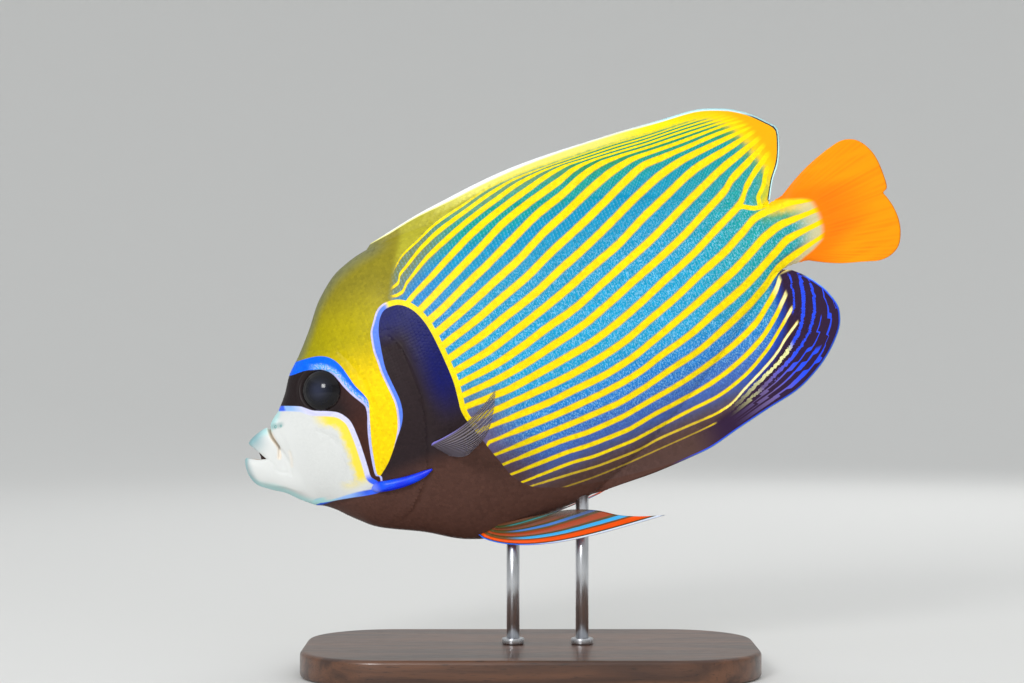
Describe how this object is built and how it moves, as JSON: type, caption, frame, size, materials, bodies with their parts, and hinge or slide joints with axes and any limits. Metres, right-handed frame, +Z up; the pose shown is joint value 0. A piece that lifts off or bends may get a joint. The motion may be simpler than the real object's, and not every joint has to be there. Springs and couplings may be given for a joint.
{
  "type": "emperor angelfish",
  "caption": "Still life-size adult emperor angelfish, nose down as if swimming, held by two short rods on a flat oblong display base.",
  "frame": {"origin": "middle of the underside of the stand's base", "axes": "+Z up, +X towards the tail, so that the fish heads towards -X, +Y towards the fish's right side"},
  "size_m": [0.3033, 0.1424, 0.2605],
  "materials": {
    "face_skin": "smooth damp skin, satin",
    "body_skin": "finely scaled skin with yellow stripes, satin",
    "spine_horn": "smooth horn, glossy",
    "eye_surface": "wet, clear and glossy",
    "fin_membrane": "ribbed membrane, satin",
    "stand_wood": "dark oiled hardwood, satin",
    "stand_rod_steel": "brushed"
  },
  "bodies": {
    "root": {"head": "face_skin", "upper_lip": "face_skin", "lower_lip": "face_skin", "gill_cover_left": "body_skin", "gill_cover_right": "body_skin", "cheek_spine_left": "spine_horn", "cheek_spine_right": "spine_horn", "eye_left": "eye_surface", "eye_right": "eye_surface", "torso": "body_skin", "tail_stalk": "body_skin", "dorsal_fin": "fin_membrane", "anal_fin": "fin_membrane", "tail_fin": "fin_membrane", "pectoral_fin_left": "fin_membrane", "pectoral_fin_right": "fin_membrane", "pelvic_fin_left": "fin_membrane", "pelvic_fin_right": "fin_membrane", "stand_base": "stand_wood", "stand_rod_front": "stand_rod_steel", "stand_rod_rear": "stand_rod_steel"}
  },
  "joints": []
}
